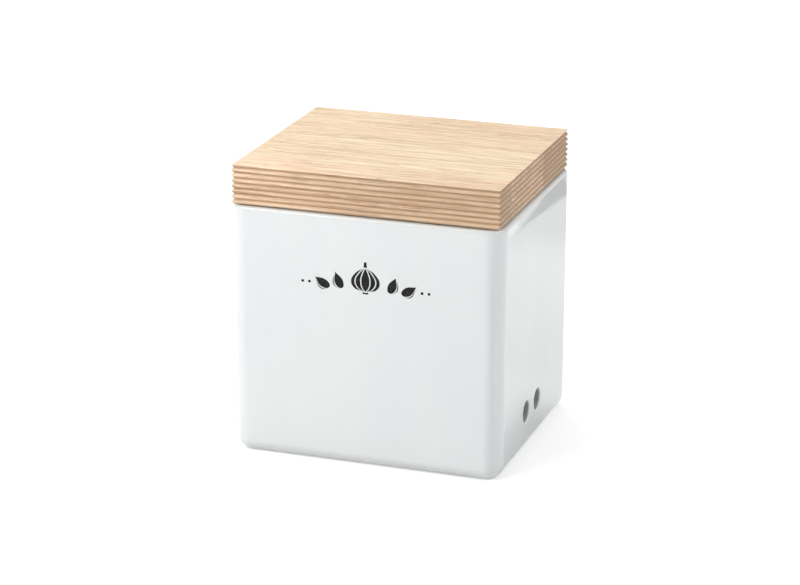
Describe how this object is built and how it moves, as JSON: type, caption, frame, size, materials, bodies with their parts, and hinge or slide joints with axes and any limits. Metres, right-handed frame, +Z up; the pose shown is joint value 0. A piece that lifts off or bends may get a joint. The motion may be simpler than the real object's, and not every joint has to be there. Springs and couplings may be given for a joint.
{
  "type": "garlic keeper",
  "caption": "Rectangular ceramic storage jar with low vent holes and a thick wooden lid with a ribbed edge and a seal.",
  "frame": {"origin": "on the surface that the jar stands on, under the centre of the jar", "axes": "+Z up, +X to the right and -Y towards the front, where the wide plain face is"},
  "size_m": [0.128, 0.1104, 0.1353],
  "materials": {
    "glaze": "gloss",
    "front_wood": "satin",
    "middle_wood": "satin",
    "rear_wood": "satin",
    "silicone": "matte"
  },
  "bodies": {
    "jar": {"jar": "glaze"},
    "lid": {"lid_stave_front": "front_wood", "lid_stave_middle": "middle_wood", "lid_stave_rear": "rear_wood", "lid_seal": "silicone"}
  },
  "joints": [
    {"name": "lid_lift", "type": "slide", "parent": "jar", "child": "lid", "axis": [0, 0, 1], "range_m": [0, 0.1]}
  ]
}
